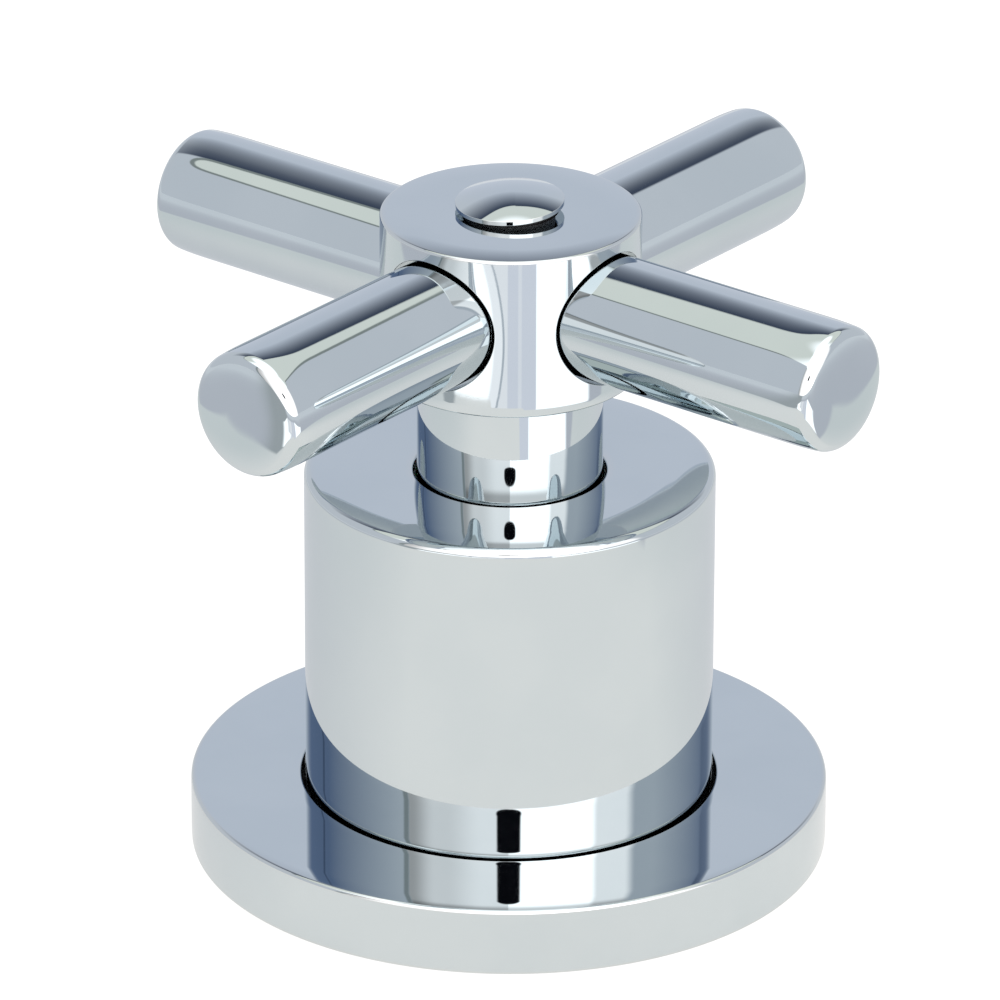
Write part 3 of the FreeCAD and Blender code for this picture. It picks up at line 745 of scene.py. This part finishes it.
# Ceramic discs: two lapped alumina discs with wing-shaped ports, the fixed one keyed to the body and the
# moving one to the spindle. A moulded seal presses them together and against the seat in the valve body.
ceramic_lapped = (0.86, 0.86, 0.84)
ceramic_worn = (0.78, 0.785, 0.77)
ceramic_film_size = 0.004
ceramic_wear_share = 0.5
ceramic_roughness = (0.12, 0.22)
ceramic_grain = 0.0001
ceramic_grain_height = 0.000001
white_ceramic, tree, sockets = new_look("lapped_alumina", Coat_Weight=0.3, Coat_Roughness=0.08)
place, patches, specks = handled(tree, ceramic_film_size)
worn = wear(tree, patches, specks, ceramic_wear_share)
feed(tree, sockets["Base Color"], blend(tree, worn, ceramic_lapped, ceramic_worn))
lapping = noise(tree, place, ceramic_grain, detail=3.0)
dulled = product(tree, math_of(tree, "ADD", lapping, patches), 0.5)
feed(tree, sockets["Roughness"], ramp(tree, dulled, 0.0, 1.0, *ceramic_roughness))
feed(tree, sockets["Normal"], raised(tree, lapping, ceramic_grain_height))
dress(white_ceramic, "fixed_disc", "moving_disc")
dress(black_rubber, "seat_seal")

# Spindle: turned and splined brass, with two rubber rings in grooves, a plastic slide washer, and a
# spring-steel clip over the body's neck that keeps it in.
turned_brass = bare_metal("turned_brass", (0.50, 0.36, 0.15), (0.72, 0.52, 0.22), smooth=0.17, rough=0.28,
                          spacing=0.00012)
spring_steel = bare_metal("spring_steel", (0.40, 0.41, 0.42), (0.56, 0.57, 0.58), smooth=0.24, rough=0.36,
                          spacing=0.0002)
plastic_film_size = 0.004
plastic_wear_share = 0.5
plastic_roughness = (0.34, 0.46)
plastic_grain = 0.0002
plastic_grain_height = 0.000004


def moulded_plastic(name, clean, greyed, scatter):
    """Natural acetal: slightly waxy, with a moulded grain, greyed where it rubs."""
    look, tree, sockets = new_look(name, Subsurface_Weight=scatter, Subsurface_Scale=0.0005)
    place, patches, specks = handled(tree, plastic_film_size)
    worn = wear(tree, patches, specks, plastic_wear_share)
    feed(tree, sockets["Base Color"], blend(tree, worn, clean, greyed))
    feed(tree, sockets["Roughness"], ramp(tree, patches, 0.0, 1.0, *plastic_roughness))
    feed(tree, sockets["Normal"], raised(tree, noise(tree, place, plastic_grain), plastic_grain_height))
    return look


white_plastic = moulded_plastic("natural_acetal", (0.80, 0.79, 0.75), (0.70, 0.69, 0.65), scatter=0.15)
dress(turned_brass, "spindle")
dress(black_rubber, "spindle_o_rings")
dress(white_plastic, "slide_washer")
dress(spring_steel, "retaining_clip")

# Sleeve: a turned brass cup, polished and chrome plated, whose inner boss screws onto the headwork. A split
# plastic ring in its top guides the handle's shank.
sleeve_polish = math.radians(5.0)
sleeve_wall = 0.0016
sleeve_top_wall = 0.0025
sleeve_rim_round = 0.00075
sleeve_hole_round = 0.00025
sleeve_foot_round = 0.0003
sleeve_inner_round = 0.001
sleeve_boss_wall = 0.0024
sleeve_boss_length = 0.0074
sleeve_rub = 0.0025
sleeve_hole_rub = 0.0055
shank_radius = 0.0081
shank_hole_gap = 0.0003
guide_room = 0.00005
guide_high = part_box("sleeve_guide_ring")[1]
sleeve_height = sleeve_high.z
sleeve_bore = sleeve_radius - sleeve_wall
sleeve_hole = shank_radius + shank_hole_gap
sleeve_ceiling = sleeve_height - sleeve_top_wall
boss_bore = guide_high.x + guide_room
boss_foot = sleeve_ceiling - sleeve_boss_length

sleeve_rows = closed(stations((
    (sleeve_bore, 0),
    (sleeve_radius, 0, sleeve_foot_round),
    (sleeve_radius, sleeve_height, sleeve_rim_round, 0, sleeve_rub),
    (sleeve_hole, sleeve_height, sleeve_hole_round, sleeve_hole_rub, 0),
    (sleeve_hole, sleeve_ceiling),
    (boss_bore, sleeve_ceiling),
    (boss_bore, boss_foot),
    (boss_bore + sleeve_boss_wall, boss_foot),
    (boss_bore + sleeve_boss_wall, sleeve_ceiling, sleeve_inner_round),
    (sleeve_bore, sleeve_ceiling, sleeve_inner_round),
), sleeve_polish))
sleeve = shell("sleeve_cup", "valve", "polished_chrome", chrome, carried_round(sleeve_rows))
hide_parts("sleeve")
dress(white_plastic, "sleeve_guide_ring")

# Hub and shank: turned from one brass bar, bored from both ends, counterbored for the four bars, then
# polished and chrome plated. A plastic bush in it takes the spindle's spline.
hub_low, hub_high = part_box("hub")
bar_low, bar_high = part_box("bar_front_right")
screw_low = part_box("handle_screw")[0]
bush_low, bush_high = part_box("spline_bush")
washer_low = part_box("screw_washer")[0]
stud_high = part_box("bar_studs")[1]
hub_radius = hub_high.x
hub_top = hub_high.z
hub_height = 0.0147
hub_foot = hub_top - hub_height
shank_foot = hub_low.z
shank_bore = 0.0069
shank_foot_round = 0.0002
hub_top_round = 0.00028
hub_foot_round = 0.00022
hub_rub = 0.003
hub_foot_rub = 0.0008
hub_polish = math.radians(9.0)
bush_room = 0.00007
bar_radius = (bar_high.y - bar_low.y) / 2
bar_height = (bar_high.z + bar_low.z) / 2
bar_hole_gap = 0.00028
bar_hole = bar_radius + bar_hole_gap
bar_seat = bar_low.x - seat_room
bar_hole_edge = 0.00008
stud_bore = 0.00305
stud_bore_end = 0.00443
screw_bore = 0.00255
screw_pocket = 0.0037
screw_seat = washer_low.z - seat_room
cap_bore = 0.00405
cap_bore_chamfer = 0.0001
cap_bore_depth = 0.0031
seam_below_top = 0.0007
seam_above_foot = 0.00115
seam_top = hub_top - seam_below_top
seam_foot = hub_foot + seam_above_foot
quarter_columns = 64
quarter_rows = 48
patch_rows = 26
patch_crowding = 1.4
hole_edge_rows = 6

hub_rows = stations((
    (hub_radius, seam_top),
    (hub_radius, hub_top, hub_top_round, 0, hub_rub),
    (cap_bore + cap_bore_chamfer, hub_top),
    (cap_bore, hub_top - cap_bore_chamfer),
    (cap_bore, hub_top - cap_bore_depth),
    (screw_pocket, hub_top - cap_bore_depth),
    (screw_pocket, screw_seat),
    (screw_bore, screw_seat),
    (screw_bore, bush_high.z + seat_room),
    (bush_high.x + bush_room, bush_high.z + seat_room),
    (bush_high.x + bush_room, bush_low.z),
    (shank_bore, bush_low.z),
    (shank_bore, shank_foot),
    (shank_radius, shank_foot, shank_foot_round),
    (shank_radius, hub_foot),
    (hub_radius, hub_foot, hub_foot_round, 0, hub_foot_rub),
    (hub_radius, seam_foot),
), hub_polish)
hub_grids = [carried_round(hub_rows[1:-1], quarter_columns * 4)]


def turned_to(heading):
    """The matrix that turns rows of points or normals about Z, from X to a heading in degrees."""
    cosine = math.cos(math.radians(heading))
    sine = math.sin(math.radians(heading))
    return np.array(((cosine, sine, 0), (-sine, cosine, 0), (0, 0, 1)))


def hub_quarter(heading):
    """Side wall of the hub around one bar's hole, with the counterbore and the stud's bore behind it.

    Round the hole the columns run at the angles that the wall's outer frame has from the hole's centre. On
    the wall a point moves straight, in angle and height, from the hole's edge to the frame; its distance from
    Z is the hub's radius. The edge is a quarter circle between the wall's normal and the hole's.
    """
    spread = np.linspace(-math.pi / 4, math.pi / 4, quarter_columns + 1)
    climb = np.linspace(seam_foot, seam_top, quarter_rows + 1)
    frame_turn = np.concatenate((spread, np.full(quarter_rows - 1, math.pi / 4), spread[::-1],
                                 np.full(quarter_rows, -math.pi / 4)))
    frame_up = np.concatenate((np.full(quarter_columns + 1, seam_foot), climb[1:-1],
                               np.full(quarter_columns + 1, seam_top), climb[-2::-1]))
    around = np.arctan2(frame_up - bar_height, frame_turn * hub_radius)
    flat = np.zeros_like(around)
    outward = np.stack((flat, np.cos(around), np.sin(around)), axis=1)

    def on_wall(radius):
        turn = np.arcsin(np.cos(around) * radius / hub_radius)
        return turn, bar_height + np.sin(around) * radius

    def wall_points(turn, up):
        normals = np.stack((np.cos(turn), np.sin(turn), flat), axis=1)
        return normals * hub_radius + np.stack((flat, flat, up), axis=1), normals

    def bore_points(radius, depth):
        return np.stack((flat + depth, flat, flat + bar_height), axis=1) + outward * radius

    points, normals = [], []
    edge_turn, edge_up = on_wall(bar_hole + bar_hole_edge)
    for share in np.linspace(1, 0, patch_rows) ** patch_crowding:
        turn = edge_turn + (frame_turn - edge_turn) * share
        spots, faces = wall_points(turn, edge_up + (frame_up - edge_up) * share)
        points.append(spots)
        normals.append(faces)
    for angle in np.linspace(0, math.pi / 2, hole_edge_rows)[1:]:
        turn, up = on_wall(bar_hole + bar_hole_edge * (1 - math.sin(angle)))
        spots, faces = wall_points(turn, up)
        points.append(spots - faces * bar_hole_edge * (1 - math.cos(angle)))
        rounded = faces * math.cos(angle) - outward * math.sin(angle)
        normals.append(rounded / np.linalg.norm(rounded, axis=1, keepdims=True))
    facing_out = np.stack((flat + 1, flat, flat), axis=1)
    for radius, depth, faces in ((bar_hole, bar_seat, -outward), (bar_hole, bar_seat, facing_out),
                                 (stud_bore, bar_seat, facing_out), (stud_bore, bar_seat, -outward),
                                 (stud_bore, stud_bore_end, -outward), (stud_bore, stud_bore_end, facing_out),
                                 (0, stud_bore_end, facing_out)):
        points.append(bore_points(radius, depth))
        normals.append(faces)
    points = np.stack(points)
    return points @ turned_to(heading), np.stack(normals) @ turned_to(heading), points[:, :, 2]


bar_headings = {"bar_front_right": 0, "bar_back_right": 90, "bar_back_left": 180, "bar_front_left": 270}
hub_grids += [hub_quarter(heading) for heading in bar_headings.values()]
hub = shell("hub_and_shank", "handle", "polished_chrome", chrome, *hub_grids)
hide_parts("hub")
dress(white_plastic, "spline_bush")

# Bars: turned brass rods with a crowned end, polished and chrome plated. Each stands in its hole in the hub
# and is held there by a threaded steel stud.
bar_reach = bar_high.x
bar_end_round = 0.0011
bar_root_round = 0.0003
bar_rub = 0.0045
bar_side_polish = math.radians(5.0)
bar_end_polish = math.radians(14.0)
bar_columns = 192


def polished_end(radius, top, rounding, side_tilt, reach, end_tilt, steps=16):
    """Rows up a rod's side and over its end, as polishing wheels leave them, summed from short chords.

    The side turns in by the cube of the way along the reach, up to its tilt. An arc follows. The end is flat
    in its middle and falls away by the cube of the way out, up to its own tilt.
    """
    share = np.linspace(0, 1, steps + 1)
    flat_end = math.pi / 2 - end_tilt
    turn = np.concatenate((side_tilt * share ** 3, np.linspace(side_tilt, flat_end, steps + 1)[1:],
                           math.pi / 2 - end_tilt * (1 - share[1:]) ** 3))
    between = (turn[1:] + turn[:-1]) / 2
    chord = np.repeat((reach / steps, rounding * (flat_end - side_tilt) / steps, 0.0), steps)
    left_over = radius - chord @ np.sin(between)
    chord[-steps:] = left_over / np.sin(between[-steps:]).sum()
    inward = np.concatenate(((0,), np.cumsum(chord * np.sin(between))))
    upward = np.concatenate(((0,), np.cumsum(chord * np.cos(between))))
    return np.stack((radius - inward, top - upward[-1] + upward, np.cos(turn), np.sin(turn)), axis=1)


bar_rows = np.vstack((
    stations(((0, bar_low.x), (bar_radius, bar_low.x, bar_root_round), (bar_radius, bar_reach)))[1:-2],
    polished_end(bar_radius, bar_reach, bar_end_round, bar_side_polish, bar_rub, bar_end_polish),
))
rod_points, rod_normals, rod_way = carried_round(bar_rows, bar_columns)
lay_down = np.array(((0, 0, -1), (0, 1, 0), (1, 0, 0)))
for name, heading in bar_headings.items():
    points = rod_points @ lay_down @ turned_to(heading) + (0, 0, bar_height)
    normals = rod_normals @ lay_down @ turned_to(heading)
    bar = shell(name + "_rod", "handle", "polished_chrome", chrome, (points, normals, rod_way))
    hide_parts(name)

# Place along and about whichever of the four studs a point is on
stud_crest = 0.0027
stud_pitch = 0.001
stud_place, taken, given = effect("stud_place", ("Place",), ("Radius", "Along", "Turn"))
tree = stud_place
spot = node(tree, "SeparateXYZ", taken["Place"]).outputs
reach_x = math_of(tree, "ABSOLUTE", spot[0])
reach_y = math_of(tree, "ABSOLUTE", spot[1])
stud_across = math_of(tree, "MINIMUM", reach_x, reach_y)
stud_up = math_of(tree, "SUBTRACT", spot[2], bar_height)
polar(tree, given, stud_across, stud_up)
feed(tree, given["Along"], math_of(tree, "MAXIMUM", reach_x, reach_y))
stud_steel = bare_metal("stud_steel", (0.38, 0.39, 0.40), (0.56, 0.57, 0.58), smooth=0.25, rough=0.36,
                        spacing=0.0002, threads=((0, stud_high.x, stud_crest, stud_pitch),),
                        placed=stud_place)
dress(stud_steel, "bar_studs")

# Handle screw: a stainless pan-head screw on a spring washer. It draws the hub down onto the spindle, and the
# cap hides it.
screw_crest = 0.0022
screw_pitch = 0.0008
screw_steel = bare_metal("screw_steel", (0.40, 0.41, 0.42), (0.60, 0.61, 0.62), smooth=0.2, rough=0.32,
                         spacing=0.00015, threads=((screw_low.z, screw_seat, screw_crest, screw_pitch),))
dress(screw_steel, "handle_screw")
dress(spring_steel, "screw_washer")

# Cap: a domed brass plug, plated, that leans a little. A thin black rubber collar over its neck under
# the head is painted shade for the dark gap there, and a rubber ring in a groove of its foot grips the hub's
# bore.
cap_radius = 0.0047
cap_rim_height = 0.00038
cap_slope = 0.386
cap_stand = 0.00052
cap_neck = 0.00392
cap_foot_room = 0.0006
cap_foot = hub_top - cap_bore_depth + cap_foot_room
cap_ring_rise = 0.00105
cap_ring_height = cap_foot + cap_ring_rise
cap_groove_half = 0.00065
cap_groove = 0.00275
cap_edge_round = 0.00004
cap_lean = math.radians(3.0)
cap_lean_heading = math.radians(71.0)
cap_head = hub_top + cap_stand
cap_rim = cap_head + cap_rim_height
cap_columns = 160
# The black collar stands in for the shade in the gap under the head: painted shade
shade_collar_wall = 0.00012
shade_collar_rise = 0.0002
shade_collar_foot = cap_ring_height + cap_groove_half + shade_collar_rise


def domed(radius, rim, slope, widest=0.97, steps=28):
    """Rows over a dome, from the widest share of its radius to its middle.

    Its slope grows evenly from none in the middle, so it stands radius * slope / 2 high.
    """
    share = np.linspace(widest, 0, steps)
    height = rim + radius * slope * (1 - share * share) / 2
    rows = np.stack((share * radius, height, slope * share, np.ones_like(share)), axis=1)
    rows[:, 2:] /= np.linalg.norm(rows[:, 2:], axis=1, keepdims=True)
    return rows


cap_rows = np.vstack((
    stations((
        (0, cap_foot),
        (cap_neck, cap_foot),
        (cap_neck, cap_ring_height - cap_groove_half),
        (cap_groove, cap_ring_height - cap_groove_half),
        (cap_groove, cap_ring_height + cap_groove_half),
        (cap_neck, cap_ring_height + cap_groove_half),
        (cap_neck, shade_collar_foot),
        (cap_neck - shade_collar_wall, shade_collar_foot),
        (cap_neck - shade_collar_wall, cap_head),
        (cap_radius, cap_head, cap_edge_round),
        (cap_radius, cap_rim, cap_edge_round),
        (0, cap_rim + cap_radius * cap_slope),
    ))[1:-2],
    domed(cap_radius, cap_rim, cap_slope),
))
shade_collar_rows = closed(stations((
    (cap_neck - shade_collar_wall, shade_collar_foot),
    (cap_neck, shade_collar_foot),
    (cap_neck, cap_head),
    (cap_neck - shade_collar_wall, cap_head),
)))
lean_axis = Vector((math.sin(cap_lean_heading), -math.cos(cap_lean_heading), 0))
lean = np.array(Matrix.Rotation(cap_lean, 3, lean_axis)).T
centre = np.array((0, 0, cap_ring_height))


def leaning(rows):
    """The rows carried round Z, then leaned about the middle of the rubber ring."""
    points, normals, way = carried_round(rows, cap_columns)
    return (points - centre) @ lean + centre, normals @ lean, way


cap = shell("cap_plug", "top_cap", "polished_chrome", chrome, leaning(cap_rows))
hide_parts("cap")
# Black collar on the neck: painted shade in the gap under the cap's head
shell("cap_neck_shade", "top_cap", "black_rubber", black_rubber, leaning(shade_collar_rows))
dress(black_rubber, "cap_o_ring")
